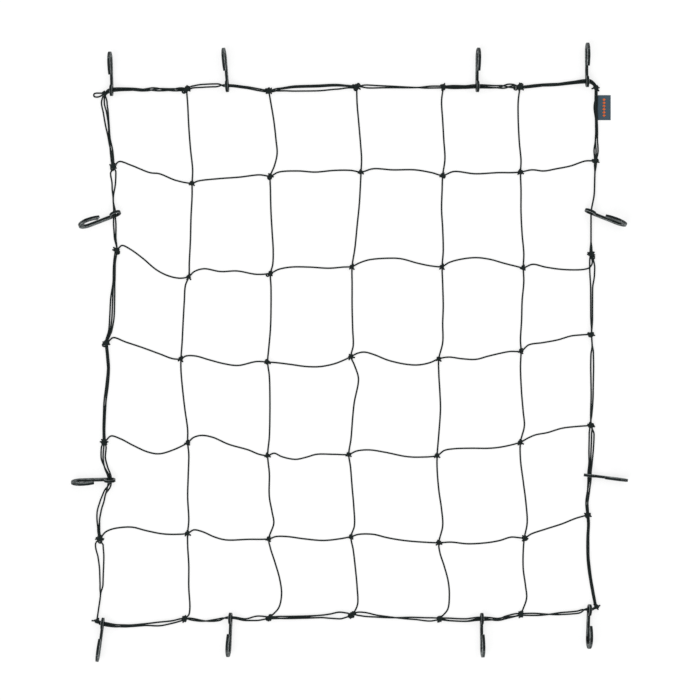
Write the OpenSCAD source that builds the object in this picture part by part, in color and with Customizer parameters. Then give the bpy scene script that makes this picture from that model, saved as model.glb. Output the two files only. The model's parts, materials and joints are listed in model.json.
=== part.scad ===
// Elastic cargo net with twelve moulded J hooks, laid out flat.
// The net lies in the XY plane on z = 0, its top edge towards +Y.
// The origin is on the floor, at the middle of the whole net.

/* [Net] */
// Distance between the knots of a row
mesh_w = 150; // [120:5:180]
// Distance between the rows of knots
mesh_h = 150; // [120:5:180]

/* [Cord] */
// Diameter of the elastic cord
cord_d = 3; // [2.6:0.1:3.6]

/* [Knots] */
// Diameter of a knot where two mesh cords cross
mesh_knot_d = 11; // [9:0.5:14]
// Height of a knot where two mesh cords cross
mesh_knot_h = 9; // [7.5:0.5:11]
// Diameter of a knot on the border
border_knot_d = 13; // [11:0.5:15.5]
// Height of a knot on the border
border_knot_h = 10; // [8:0.5:12]
// Diameter of a knot at a corner
corner_knot_d = 11; // [10:0.5:12]
// Height of a knot at a corner
corner_knot_h = 12; // [10:0.5:14]

/* [Hook] */
// Length of a hook from the end of its eye to the outside of its bend
hook_len = 80; // [64:1:96]
// Thickness of a hook
hook_t = 5; // [4.2:0.2:6]
// Outside diameter of the eye
eye_d = 21; // [17.5:0.5:25]
// Diameter of the hole in the eye
eye_hole_d = 11; // [9.2:0.2:13]
// Width of the shank, the bend and the tip
shank_w = 8.5; // [7:0.5:10]
// Width of the hook's mouth
mouth_d = 19; // [15:0.5:23]
// Length of the tip past the bend
tip_len = 24; // [18:1:30]
// Radius of the outside of the tip, which curves back towards the shank
tip_curve_r = 36; // [32:1:60]
// Thickness of the web between the rims
web_t = 2.4; // [1.6:0.2:4]
// Width of a rim and of a brace
rim_w = 1.6; // [1.2:0.1:2]
// Distance between braces along the shank
brace_pitch = 6; // [5:0.5:9]
// Depth of the grip notches round the bend
notch_depth = 0.5; // [0.2:0.1:0.8]

/* [Label] */
// Width of the label from its cord to its free edge
label_w = 26.5; // [20:0.5:32]
// Width of the hem that lies under the cords
label_hem = 2; // [1:0.5:4]
// Length of the label along the border
label_l = 45; // [36:1:50]
// Thickness of the label's tape
label_t = 0.6; // [0.4:0.1:0.8]

/* [Clearances] */
// Gap between a cord and the eye it runs through
eye_gap = 0.3; // [0.2:0.1:0.5]
// Gap between the label and the cords that cross it
label_gap = 0.3; // [0.2:0.1:0.5]
// Gap between two cords that pass inside a knot
cross_gap = 0.2; // [0.1:0.1:0.4]

/* [Hidden] */
cord_color = [0.11, 0.14, 0.14];
hook_color = [0.13, 0.16, 0.16];
label_color = [0.24, 0.30, 0.35];

// --- sizes that follow from the ones above ---
$fn = 48;
cord_sides = 8;
cord_r = cord_d / 2;
eye_r = eye_d / 2;
hole_r = eye_hole_d / 2;
mouth_r = mouth_d / 2;
// Three strands packed round one another, measured from the middle of the bundle
tight = cord_r * 1.2;
// Height of a bundle's middle when its lowest strand lies on the floor
low = cord_r + tight;
// Room that a hook needs to lean on its cords
tilt_room = 0.6;
eye_spread = hole_r - cord_r - eye_gap - tilt_room;
// Half the straight run of the strands through an eye
eye_run = hook_t / 2 + 1;
knot_z = border_knot_h / 2;
corner_z = 8;
under_z = mesh_knot_h / 2 - cord_r - cross_gap / 2;
over_z = mesh_knot_h / 2 + cord_r + cross_gap / 2;
// Height of a bundle's middle where it crosses over the label
on_label = low + 2 * label_t + label_gap;
// A mesh cord reaches this far into its border knot
end_hold = 1.5;
end_back = border_knot_d / 2 - end_hold;
// The net's points are set out for meshes of this size, and move apart with mesh_w and mesh_h
drawn_mesh = 150;
// Moves the whole net so that its box is centred on the origin
net_shift = [2.6, 2.3, 0];
// Largest turn of a bundle between two rings of a strand
turn_step = 40;

// --- hook layout: the middle of the eye, the way the hook points, and its lean ---
HOOK_TOP_1 = [-431, 469, 91.5, -7];
HOOK_TOP_2 = [-223, 476, 94.5, -7];
HOOK_TOP_3 = [227.5, 476, 89.5, 8];
HOOK_TOP_4 = [425, 485, 90.5, 7];
HOOK_BOTTOM_1 = [-447, -490, 262.5, 4];
HOOK_BOTTOM_2 = [-217, -481, 267.5, 9];
HOOK_BOTTOM_3 = [235.5, -481.5, 270.5, -7];
HOOK_BOTTOM_4 = [429, -466, 268, -12];
HOOK_LEFT_1 = [-424, 246.5, 201, 20];
HOOK_LEFT_2 = [-434, -232.5, 181.5, -14];
HOOK_RIGHT_1 = [430.5, 250.5, -21.5, -12];
HOOK_RIGHT_2 = [429, -224, -7, 2];

// --- knots: rows from top to bottom, each from left to right ---
KNOTS = [
    [[-444, 463], [-296, 471], [-148, 468], [10, 475], [166, 475], [304, 475], [441, 474]],
    [[-428, 332], [-286, 302], [-145, 315], [18, 322], [165, 316], [305, 322], [440, 342]],
    [[-422, 182], [-292, 134], [-145, 140], [2, 152], [164, 152], [310, 150], [432, 175]],
    [[-440, 14], [-306, -14], [-150, -20], [0, -10], [158, -14], [306, 0], [432, 30]],
    [[-444, -164], [-294, -165], [-150, -188], [-4, -186], [155, -188], [305, -164], [432, -134]],
    [[-452, -338], [-294, -328], [-148, -338], [0, -334], [158, -345], [312, -336], [426, -295]],
    [[-457, -486], [-300, -482], [-146, -480], [2, -475], [160, -482], [306, -474], [442, -460]]
];

// --- mesh cords: the points between one knot and the next, cell by cell ---
V_ROUTES = [
    [
        [[-294, 445], [-292, 405], [-289, 365], [-285, 325]],
        [[-286, 280], [-288, 240], [-289, 200], [-291, 160]],
        [[-298, 118], [-300, 90], [-302, 55], [-304, 15]],
        [[-306, -35], [-303, -70], [-299, -105], [-294, -142]],
        [[-292, -185], [-293, -225], [-294, -262], [-292, -305]],
        [[-294, -350], [-292, -385], [-292, -425], [-290, -463], [-292, -475]]
    ],
    [
        [[-144, 445], [-139, 415], [-135, 380], [-133, 355], [-138, 333]],
        [[-145, 290], [-144, 250], [-142, 215], [-140, 180], [-141, 155]],
        [[-144, 115], [-144, 75], [-145, 40], [-148, 5]],
        [[-147, -45], [-146, -80], [-146, -115], [-147, -155]],
        [[-147, -220], [-147, -262], [-142, -290], [-139, -310]],
        [[-145, -355], [-137, -380], [-128, -412], [-125, -438], [-130, -462]]
    ],
    [
        [[11, 445], [14, 410], [17, 375], [19, 345]],
        [[17, 300], [15, 265], [11, 225], [7, 185]],
        [[2, 120], [2, 80], [3, 40], [4, 10]],
        [[6, -25], [13, -46], [13, -58], [6, -92], [3, -120], [0, -158]],
        [[-1, -208], [2, -245], [5, -280], [6, -315]],
        [[4, -358], [8, -392], [11, -425], [12, -455], [8, -466]]
    ],
    [
        [[163, 450], [165, 415], [167, 380], [169, 345]],
        [[164, 290], [163, 255], [165, 220], [166, 180]],
        [[165, 120], [166, 80], [165, 50], [165, 15]],
        [[158, -40], [160, -75], [161, -105], [158, -150]],
        [[155, -212], [158, -250], [163, -285], [165, -315]],
        [[160, -363], [168, -388], [175, -415], [177, -440], [174, -465]]
    ],
    [
        [[301, 450], [301, 415], [303, 375], [306, 342]],
        [[306, 290], [306, 250], [308, 210], [311, 175]],
        [[311, 125], [308, 90], [307, 55], [305, 20]],
        [[305, -30], [307, -75], [310, -110], [312, -135]],
        [[305, -195], [310, -235], [315, -275], [317, -310]],
        [[310, -360], [310, -392], [314, -422], [316, -445]]
    ]
];
H_ROUTES = [
    [
        [[-417, 341], [-395, 334], [-362, 321], [-345, 319], [-315, 307]],
        [[-275, 306], [-240, 310], [-200, 313], [-165, 317]],
        [[-130, 322], [-95, 324], [-65, 322], [-30, 325], [0, 325]],
        [[40, 328], [75, 326], [115, 326], [145, 321]],
        [[185, 323], [223, 319], [265, 321], [290, 321]],
        [[326, 326], [347, 324], [370, 328], [395, 333], [422, 342]]
    ],
    [
        [[-412, 190], [-397, 183], [-375, 167], [-350, 146], [-328, 135], [-307, 131]],
        [[-282, 143], [-265, 148], [-235, 143], [-205, 144], [-170, 138]],
        [[-130, 147], [-108, 151], [-75, 151], [-40, 149], [-14, 151]],
        [[14, 158], [32, 164], [68, 167], [90, 166], [120, 158], [145, 153]],
        [[176, 159], [197, 165], [225, 168], [250, 165], [275, 158], [295, 153]],
        [[327, 156], [350, 151], [378, 147], [405, 146], [420, 147, 4], [429, 150, 7.6], [434, 158, 6]]
    ],
    [
        [[-428, 24], [-405, 16], [-375, 6], [-345, -5], [-320, -14]],
        [[-297, -9], [-280, -9], [-255, -16], [-228, -23], [-203, -26], [-170, -19]],
        [[-135, -21], [-110, -24], [-80, -28], [-55, -28], [-30, -23], [-12, -16]],
        [[12, -4], [24, -2], [40, -6], [68, -17], [100, -24], [122, -25], [142, -21]],
        [[176, -11], [200, -14], [225, -15], [248, -9], [285, -1]],
        [[320, 11], [345, 15], [372, 20], [396, 27], [415, 29]]
    ],
    [
        [[-432, -153], [-415, -158], [-392, -170], [-365, -182], [-345, -185], [-320, -178]],
        [[-284, -156], [-270, -152], [-250, -155], [-220, -168], [-185, -178], [-165, -186]],
        [[-138, -184], [-125, -190], [-100, -195], [-80, -191], [-62, -186], [-30, -186]],
        [[10, -180], [32, -178], [60, -182], [100, -190], [125, -191]],
        [[168, -179], [185, -176], [215, -175], [250, -175], [275, -172]],
        [[318, -157], [332, -151], [353, -147], [380, -139], [405, -136]]
    ],
    [
        [[-442, -326], [-428, -320], [-395, -317], [-370, -323], [-340, -329], [-315, -330]],
        [[-283, -322], [-268, -325], [-245, -335], [-225, -340], [-185, -339]],
        [[-135, -334], [-115, -334], [-85, -338], [-50, -341], [-20, -338]],
        [[14, -330], [40, -330], [65, -336], [95, -341], [130, -344]],
        [[180, -344], [210, -347], [245, -345], [268, -341], [288, -335]],
        [[325, -329], [352, -320], [380, -311], [405, -301]]
    ]
];

// Height of the middle of a leaning hook's eye, with the hook's back on the floor
function eye_z(hook) = eye_r * cos(hook[3]) + hook_t / 2 * sin(abs(hook[3]));

// The two ends of the strands' straight run through an eye
function eye_run_of(hook, way, turn) = [for (side = [-1, 1]) [
    hook[0] + side * eye_run * way[0],
    hook[1] + side * eye_run * way[1],
    eye_z(hook), eye_spread, turn
]];

// --- border bundles: x, y, height, half spread and turn, cell by cell ---
TOP_CELLS = [
    [
        [-441, 464, corner_z, tight, 30],
        each eye_run_of(HOOK_TOP_1, [1, 0.25], 30),
        [-408, 471, low, 2.4, 30],
        [-374, 470, low, 1.9, -60],
        [-352, 471, low, 2.8, -150],
        [-328, 470, low, tight, -240],
        [-306, 471, low, 2.8, -330]
    ],
    [
        [-296, 471, knot_z, tight, -330],
        [-285, 475, low, 2, -330],
        [-268, 477, low, 3, -330],
        [-245, 478, low, 3, -330],
        each eye_run_of(HOOK_TOP_2, [1, 0], -450),
        [-190, 474, low, tight, -480],
        [-165, 470, low, tight, -510]
    ],
    [
        [-148, 468, knot_z, tight, -540],
        [-125, 471, low, 3, -435],
        [-100, 473, low, 5.5, -435],
        [-60, 474, low, 6, -435],
        [-25, 476, low, 5, -435],
        [-5, 476, low, 2.5, -435]
    ],
    [
        [10, 475, knot_z, tight, -420],
        [31, 476, low, 3, -510],
        [60, 476, low, 2.2, -540],
        [120, 475, low, tight, -600],
        [150, 475, low, 2, -690]
    ],
    [
        [166, 475, knot_z, tight, -690],
        [185, 475, low, 3, -690],
        [205, 475, low, 2.5, -690],
        each eye_run_of(HOOK_TOP_3, [1, 0], -690),
        [262, 475, low, 2.5, -720],
        [290, 477, low, 3.5, -870]
    ],
    [
        [304, 475, knot_z, tight, -900],
        [330, 477, low, 2, -930],
        [370, 480, low, 2, -1010],
        [400, 483, low, 2.2, -1050],
        each eye_run_of(HOOK_TOP_4, [1, 0], -1050),
        [436, 481, corner_z, 2.2, -1050],
        [440, 476, corner_z, tight, -1050]
    ]
];
RIGHT_CELLS = [
    [
        [441, 471, 6, tight, 30],
        [441, 463, on_label, tight, 30],
        [440, 440, on_label, 2.8, -30],
        [442, 414, on_label, tight, -60],
        [442, 396, low, tight, -90],
        [441, 378, low, 2.5, -120],
        [441, 360, low, 4.2, -150]
    ],
    [
        [440, 342, knot_z, tight, -150],
        [438, 320, low, tight, -60],
        [437, 285, low, tight, -60],
        each eye_run_of(HOOK_RIGHT_1, [-0.1, -1], -60),
        [431, 222, low, tight, -60],
        [431, 200, low, tight, -60]
    ],
    [
        [432, 175, knot_z, tight, 30],
        [433, 163, low, 4, 30],
        [434, 150, low, 5.2, 30],
        [434, 135, low, 4.5, 30],
        [433, 112, low, 2, 30],
        [433, 70, low, tight, 30]
    ],
    [
        [432, 30, knot_z, tight, -60],
        [433, 12, low, tight, -60],
        [434, -8, low, 2.6, -150],
        [434, -28, low, 3, -150],
        [434, -48, low, 2.6, -150],
        [434, -75, low, 2.1, -150],
        [433, -115, low, tight, -200]
    ],
    [
        [432, -134, knot_z, tight, -280],
        [433, -150, low, 5, -330],
        [432, -180, low, 4.5, -330],
        [431, -202, low, 3.2, -330],
        each eye_run_of(HOOK_RIGHT_2, [0, -1], -330),
        [427, -250, low, 2.3, -360],
        [425, -275, low, 2.2, -420]
    ],
    [
        [426, -295, knot_z, tight, -450],
        [427, -310, low, tight, -470],
        [426, -335, low, tight, -490],
        [427, -370, low, 2, -540],
        [430, -405, low, 2, -590],
        [435, -432, low, tight, -630],
        [440, -456, 6, tight, -660]
    ]
];
BOTTOM_CELLS = [
    [
        [-453, -488, corner_z, tight, 30],
        each eye_run_of(HOOK_BOTTOM_1, [1, -0.25], 30),
        [-418, -495, low, 2.2, 0],
        [-395, -494, low, tight, -60],
        [-372, -492, low, 2, -60],
        [-344, -490, low, 4.4, -60],
        [-322, -487, low, 3, -60]
    ],
    [
        [-300, -482, knot_z, tight, -60],
        [-285, -483, low, tight, -150],
        [-262, -485, low, tight, -240],
        [-240, -484, low, tight, -330],
        each eye_run_of(HOOK_BOTTOM_2, [1, 0], -450),
        [-190, -484, low, 2, -480],
        [-168, -481, low, 4.5, -510]
    ],
    [
        [-146, -480, knot_z, tight, -510],
        [-125, -480, low, 2.4, -480],
        [-90, -479, low, 2.2, -450],
        [-55, -477, low, 2.8, -420],
        [-38, -476, low, 5, -420],
        [-20, -474, low, 8, -420],
        [-8, -474, low, 5, -420]
    ],
    [
        [2, -475, knot_z, tight, -420],
        [14, -473, low, 3.5, -510],
        [24, -474, low, 4, -510],
        [50, -477, low, 2, -540],
        [80, -479, low, tight, -600],
        [115, -481, low, 2.2, -680],
        [142, -483, low, 3.4, -690]
    ],
    [
        [160, -482, knot_z, tight, -690],
        [180, -484, low, 3, -720],
        [205, -485, low, 3, -720],
        each eye_run_of(HOOK_BOTTOM_3, [1, 0], -690),
        [262, -483, low, 2, -750],
        [280, -479, low, 2.6, -810],
        [295, -476, low, 3, -840]
    ],
    [
        [306, -474, knot_z, tight, -870],
        [325, -474, low, 2.2, -870],
        [356, -473, low, tight, -960],
        [385, -472, low, 2.2, -1050],
        [408, -470, low, 2.4, -1050],
        each eye_run_of(HOOK_BOTTOM_4, [1, 0], -1170),
        [439, -463, corner_z, tight, -1170]
    ]
];
LEFT_CELLS = [
    [
        [-444, 459, 5, 2.4, 30],
        [-444, 447, low, 5.8, 30],
        [-441, 430, low, 5.2, 40],
        [-438, 407, low, 4, 50],
        [-435, 382, low, tight, 30],
        [-431, 358, low, 2.6, -20]
    ],
    [
        [-428, 332, knot_z, tight, -60],
        [-428, 320, low, 5.5, -150],
        [-427, 302, low, 3.6, -150],
        [-427, 272, low, tight, -240],
        each eye_run_of(HOOK_LEFT_1, [0, -1], -210),
        [-425, 222, low, 2.3, -150],
        [-425, 205, low, tight, -120]
    ],
    [
        [-422, 182, knot_z, tight, -60],
        [-425, 160, low, tight, -60],
        [-427, 125, low, 2, 0],
        [-429, 92, low, 4.2, 30],
        [-430, 65, low, 4.6, 30],
        [-433, 38, low, 3.2, 30]
    ],
    [
        [-440, 14, knot_z, tight, 30],
        [-438, -10, low, tight, 30],
        [-437, -30, low, 2, 0],
        [-439, -62, low, 2.2, -30],
        [-442, -90, low, 2.3, -60],
        [-444, -120, low, tight, -90],
        [-445, -145, low, tight, -120]
    ],
    [
        [-444, -164, knot_z, tight, -150],
        [-445, -174, low, 5, -150],
        [-446, -190, low, 4.4, -150],
        [-442, -208, low, 3.6, -120],
        each eye_run_of(HOOK_LEFT_2, [0, -1], -90),
        [-443, -257, low, 3, -180],
        [-447, -271, low, 4.5, -180],
        [-452, -288, low, 4.5, -180],
        [-454, -305, low, 3, -180],
        [-454, -322, low, tight, -210]
    ],
    [
        [-452, -338, knot_z, tight, -210],
        [-453, -349, low, 8, -150],
        [-450, -371, low, 6, -150],
        [-449, -394, low, 4, -150],
        [-449, -420, low, 3, -150],
        [-450, -440, low, tight, -240],
        [-453, -462, low, tight, -240],
        [-456, -483, 6, tight, -240]
    ]
];
// The bight of cord that stands out of the top left corner
CORNER_LOOP = [
    [-447, 464, 5], [-452, 464, 3], [-458, 464, 1.8], [-462, 463, cord_r], [-463, 460.5, cord_r],
    [-462, 458, cord_r], [-458, 457, 1.8], [-452, 458, 3], [-447, 461, 5]
];
// The runs of cells that have a third strand
TOP_THIRDS = [[0, 0], [2, 2], [4, 5]];
RIGHT_THIRDS = [[0, 0], [4, 5]];
BOTTOM_THIRDS = [[0, 0], [2, 2], [4, 4]];
LEFT_THIRDS = [[0, 0], [2, 4]];

// --- routes ---
function unit(v) = v / norm(v);
function flat(p) = [p[0], p[1]];
function is_last(i, list) = i == len(list) - 1;

// A point of the net, moved out with the size of the meshes
function spread_out(p) = [
    p[0] * mesh_w / drawn_mesh,
    p[1] * mesh_h / drawn_mesh,
    for (i = [2 : 1 : len(p) - 1]) p[i]
];

// A knot's middle, moved towards a point by end_back: where a mesh cord stops
function stop_at(knot, towards) =
    let (p = knot + end_back * unit(flat(towards) - knot)) [p[0], p[1], knot_z];

function on_floor(p) = len(p) > 2 ? p : [p[0], p[1], cord_r];

// A mesh cord from border to border: its end, the cells' points and the knots, and its other end
function mesh_route(knots, cells, z_in_knot) =
    let (
        ties = [for (knot = knots) spread_out(knot)],
        runs = [for (cell = cells) [for (p = cell) spread_out(p)]],
        last = len(cells) - 1
    )
    [
        stop_at(ties[0], runs[0][0]),
        for (i = [0 : last]) each [
            for (p = runs[i]) on_floor(p),
            if (i < last) [ties[i + 1][0], ties[i + 1][1], z_in_knot]
        ],
        stop_at(ties[last + 1], runs[last][len(runs[last]) - 1])
    ];

// A bundle's stations with more put between two that turn far
function filled(stations) = [
    for (i = [0 : len(stations) - 2])
        let (steps = max(1, ceil(abs(stations[i + 1][4] - stations[i][4]) / turn_step)))
            for (s = [0 : steps - 1]) stations[i] + (stations[i + 1] - stations[i]) * s / steps,
    stations[len(stations) - 1]
];

// One strand of a bundle: it winds round the bundle's middle and never goes under the floor
function strand_route(stations, strand) =
    let (full = filled([for (s = stations) spread_out(s)]), last = len(full) - 1)
    [for (i = [0 : last])
        let (
            s = full[i],
            way = unit(flat(full[min(i + 1, last)]) - flat(full[max(i - 1, 0)])),
            turn = s[4] + 120 * strand,
            across = s[3] * cos(turn),
            up = min(s[3], s[2] - cord_r) * sin(turn)
        )
        [s[0] - way[1] * across, s[1] + way[0] * across, s[2] + up]
    ];

function run_of(cells, first, last) = [
    for (i = [first : last]) each cells[i],
    if (last < len(cells) - 1) cells[last + 1][0]
];

// --- building blocks ---
// A round cord swept along a route, closed at both ends
module cord_along(route) {
    last = len(route) - 1;
    rings = [for (i = [0 : last])
        let (
            way = unit(route[min(i + 1, last)] - route[max(i - 1, 0)]),
            side = unit(cross(way, [0, 0, 1])),
            up = cross(side, way)
        )
        for (k = [0 : cord_sides - 1])
            route[i] + cord_r * (cos(k * 360 / cord_sides) * side + sin(k * 360 / cord_sides) * up)
    ];
    sides = [for (i = [0 : last - 1], k = [0 : cord_sides - 1])
        let (a = i * cord_sides + k, b = i * cord_sides + (k + 1) % cord_sides)
            each [[a, a + cord_sides, b], [b, a + cord_sides, b + cord_sides]]
    ];
    first_cap = [for (k = [0 : cord_sides - 1]) k];
    last_cap = [for (k = [cord_sides - 1 : -1 : 0]) last * cord_sides + k];
    translate(net_shift) polyhedron(points = rings, faces = concat(sides, [first_cap, last_cap]));
}

module border_strand(cells, strand) {
    color(cord_color) cord_along(strand_route(run_of(cells, 0, len(cells) - 1), strand));
}

module third_strands(cells, runs) {
    color(cord_color)
        for (run = runs)
            cord_along(strand_route(run_of(cells, run[0], run[1]), 2));
}

// A barrel with rounded rims, standing on the floor
module knot(place, d, h) {
    rim = h * 0.35;
    translate(net_shift + [place[0], place[1], h / 2])
        rotate_extrude() {
            translate([0, -h / 2]) square([d / 2 - rim, h]);
            translate([0, -h / 2 + rim]) square([d / 2, h - 2 * rim]);
            for (side = [-1, 1])
                translate([d / 2 - rim, side * (h / 2 - rim)])
                    intersection() {
                        circle(rim);
                        translate([0, -rim]) square([rim, 2 * rim]);
                    }
        }
}

module knots(places, d, h) {
    color(cord_color) for (place = places) knot(spread_out(place), d, h);
}

// --- hook, drawn in its own plane: the eye's middle at the origin, the tip on the upper side ---
back_v = -eye_r;
bend_u = hook_len - eye_r - shank_w - mouth_r;
bend_v = back_v + shank_w + mouth_r;
bend_r = mouth_r + shank_w;
// The tip is part of a ring that touches the top of the bend
tip_middle = [bend_u, bend_v + bend_r - tip_curve_r];
tip_sweep = asin(tip_len / tip_curve_r);
tip_inner_r = tip_curve_r - shank_w;
notch_angles = [-70 : 10 : 70];

module half_ring(inner_r, outer_r) {
    translate([bend_u, bend_v])
        difference() {
            intersection() {
                circle(outer_r);
                translate([0, -outer_r]) square([outer_r, 2 * outer_r]);
            }
            circle(inner_r);
        }
}

// The part of a ring from straight up to a sweep past it
module tip_ring(inner_r, outer_r, sweep) {
    reach = 2 * outer_r;
    translate(tip_middle)
        difference() {
            intersection() {
                circle(outer_r);
                polygon([[0, 0], [0, reach], [-reach * sin(sweep), reach * cos(sweep)]]);
            }
            circle(inner_r);
        }
}

module hook_outline() {
    translate([hole_r + hook_t / 2, back_v]) square([bend_u - hole_r - hook_t / 2, shank_w]);
    translate([0, back_v]) square([bend_u, rim_w * 2]);
    half_ring(mouth_r, bend_r);
    tip_ring(tip_inner_r, tip_curve_r, tip_sweep);
}

// The recess between the rims, crossed by slanting braces
module recess_outline() {
    pocket_w = shank_w - 2 * rim_w;
    shank_start = eye_r + rim_w;
    shank_run = bend_u - shank_start;
    braces = floor(shank_run / brace_pitch);
    tip_mid_r = tip_curve_r - shank_w / 2;
    tip_pocket_sweep = tip_sweep - asin(rim_w / tip_mid_r);
    tip_brace_step = asin(brace_pitch / tip_mid_r);
    difference() {
        union() {
            translate([shank_start, back_v + rim_w]) square([shank_run, pocket_w]);
            half_ring(mouth_r + rim_w, bend_r - rim_w);
            tip_ring(tip_inner_r + rim_w, tip_curve_r - rim_w, tip_pocket_sweep);
        }
        for (i = [0 : braces])
            translate([shank_start + (i + 0.5) * brace_pitch, back_v + shank_w / 2])
                rotate(i % 2 == 0 ? 35 : -35)
                    square([rim_w * 0.6, shank_w * 1.6], center = true);
        for (i = [0 : floor(tip_sweep / tip_brace_step) - 1])
            translate(tip_middle)
                rotate((i + 0.5) * tip_brace_step)
                    translate([0, tip_mid_r])
                        rotate(i % 2 == 0 ? 35 : -35)
                            square([rim_w * 0.6, shank_w * 1.6], center = true);
        for (angle = [-72 : 24 : 72])
            translate([bend_u, bend_v])
                rotate(angle)
                    translate([mouth_r, -rim_w * 0.3])
                        square([shank_w, rim_w * 0.6]);
    }
}

// The eye: a ring whose inner wall is rounded to let the cords run
module hook_eye() {
    rotate_extrude()
        intersection() {
            union() {
                translate([hole_r + hook_t / 2, 0]) circle(hook_t / 2);
                translate([hole_r + hook_t / 2, -hook_t / 2]) square([eye_r, hook_t]);
            }
            translate([0, -hook_t / 2]) square([eye_r, hook_t]);
        }
}

module hook_body() {
    recess = (hook_t - web_t) / 2;
    hook_eye();
    difference() {
        translate([0, 0, -hook_t / 2])
            linear_extrude(hook_t)
                difference() {
                    hook_outline();
                    circle(hole_r + hook_t / 2);
                    for (angle = notch_angles)
                        translate([bend_u, bend_v])
                            rotate(angle) translate([bend_r, 0]) circle(notch_depth);
                }
        for (side = [0, 1])
            mirror([0, 0, side])
                translate([0, 0, web_t / 2])
                    linear_extrude(recess + 1) recess_outline();
    }
}

module hook(place) {
    color(hook_color)
        translate(net_shift + spread_out([place[0], place[1], eye_z(place)]))
            rotate([0, 0, place[2]])
                rotate([90 + place[3], 0, 0])
                    hook_body();
}

// --- label: a tape folded in two, flat on the floor, its folded hem under the border's cords ---
module label_tag() {
    label_middle = [441, 438, 0];
    color(label_color)
        translate(net_shift + spread_out(label_middle) - [label_hem, label_l / 2, 0])
            cube([label_w + label_hem, label_l, 2 * label_t]);
}

// --- the bight of cord at the corner ---
module corner_bight() {
    color(cord_color) cord_along([for (p = CORNER_LOOP) spread_out(p)]);
}

// --- nodes ---
module mesh_cord_v(n) {
    column = [for (row = KNOTS) row[n]];
    color(cord_color) cord_along(mesh_route(column, V_ROUTES[n - 1], under_z));
}

module mesh_cord_h(n) {
    color(cord_color) cord_along(mesh_route(KNOTS[n], H_ROUTES[n - 1], over_z));
}

module knots_row(n) { knots([for (c = [1 : 5]) KNOTS[n][c]], mesh_knot_d, mesh_knot_h); }
module border_knots(places) { knots(places, border_knot_d, border_knot_h); }

mesh_cord_v(1);  // cord_v1
mesh_cord_v(2);  // cord_v2
mesh_cord_v(3);  // cord_v3
mesh_cord_v(4);  // cord_v4
mesh_cord_v(5);  // cord_v5
mesh_cord_h(1);  // cord_h1
mesh_cord_h(2);  // cord_h2
mesh_cord_h(3);  // cord_h3
mesh_cord_h(4);  // cord_h4
mesh_cord_h(5);  // cord_h5
border_strand(TOP_CELLS, 0);  // top_strand_a
border_strand(TOP_CELLS, 1);  // top_strand_b
third_strands(TOP_CELLS, TOP_THIRDS);  // top_strand_c
border_strand(RIGHT_CELLS, 0);  // right_strand_a
border_strand(RIGHT_CELLS, 1);  // right_strand_b
third_strands(RIGHT_CELLS, RIGHT_THIRDS);  // right_strand_c
border_strand(BOTTOM_CELLS, 0);  // bottom_strand_a
border_strand(BOTTOM_CELLS, 1);  // bottom_strand_b
third_strands(BOTTOM_CELLS, BOTTOM_THIRDS);  // bottom_strand_c
border_strand(LEFT_CELLS, 0);  // left_strand_a
border_strand(LEFT_CELLS, 1);  // left_strand_b
third_strands(LEFT_CELLS, LEFT_THIRDS);  // left_strand_c
corner_bight();  // corner_loop
knots_row(1);  // knots_row_1
knots_row(2);  // knots_row_2
knots_row(3);  // knots_row_3
knots_row(4);  // knots_row_4
knots_row(5);  // knots_row_5
border_knots([for (c = [1 : 5]) KNOTS[0][c]]);  // knots_top
border_knots([for (r = [1 : 5]) KNOTS[r][6]]);  // knots_right
border_knots([for (c = [1 : 5]) KNOTS[6][c]]);  // knots_bottom
border_knots([for (r = [1 : 5]) KNOTS[r][0]]);  // knots_left
knots([for (r = [0, 6], c = [0, 6]) KNOTS[r][c]], corner_knot_d, corner_knot_h);  // knots_corner
hook(HOOK_TOP_1);  // hook_top_1
hook(HOOK_TOP_2);  // hook_top_2
hook(HOOK_TOP_3);  // hook_top_3
hook(HOOK_TOP_4);  // hook_top_4
hook(HOOK_BOTTOM_1);  // hook_bottom_1
hook(HOOK_BOTTOM_2);  // hook_bottom_2
hook(HOOK_BOTTOM_3);  // hook_bottom_3
hook(HOOK_BOTTOM_4);  // hook_bottom_4
hook(HOOK_LEFT_1);  // hook_left_1
hook(HOOK_LEFT_2);  // hook_left_2
hook(HOOK_RIGHT_1);  // hook_right_1
hook(HOOK_RIGHT_2);  // hook_right_2
label_tag();  // label
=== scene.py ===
"""Elastic cargo net with twelve moulded J hooks, laid flat on a pale floor and seen from straight above.

The net's cords, knots and label ride on the CAD body "net", and each hook on its own body.
All sizes are in metres. The route points are those of part.scad, before the net is centred by SHIFT.
"""
import json
import math

import bmesh
import bpy
import numpy as np
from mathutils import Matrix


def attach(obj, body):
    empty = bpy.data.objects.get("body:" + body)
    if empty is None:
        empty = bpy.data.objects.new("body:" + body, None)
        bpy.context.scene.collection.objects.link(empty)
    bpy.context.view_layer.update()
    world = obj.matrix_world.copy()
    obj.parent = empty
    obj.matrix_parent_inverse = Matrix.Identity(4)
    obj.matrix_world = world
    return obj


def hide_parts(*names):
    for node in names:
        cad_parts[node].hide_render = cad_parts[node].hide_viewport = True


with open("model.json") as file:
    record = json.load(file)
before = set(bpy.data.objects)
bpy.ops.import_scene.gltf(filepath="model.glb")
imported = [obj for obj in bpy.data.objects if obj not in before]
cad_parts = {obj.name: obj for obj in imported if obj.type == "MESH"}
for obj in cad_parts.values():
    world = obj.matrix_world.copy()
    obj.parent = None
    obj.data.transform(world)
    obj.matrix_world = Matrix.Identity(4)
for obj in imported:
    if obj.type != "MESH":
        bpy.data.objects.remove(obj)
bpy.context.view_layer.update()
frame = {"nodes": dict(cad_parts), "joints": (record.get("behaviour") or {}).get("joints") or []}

# --- sizes ---
CORD_D = 0.003
CORD_R = CORD_D / 2
# From the route points' frame to the one with its origin at the middle of the net's box
SHIFT = np.array([0.0026, 0.0023, 0.0])
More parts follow.
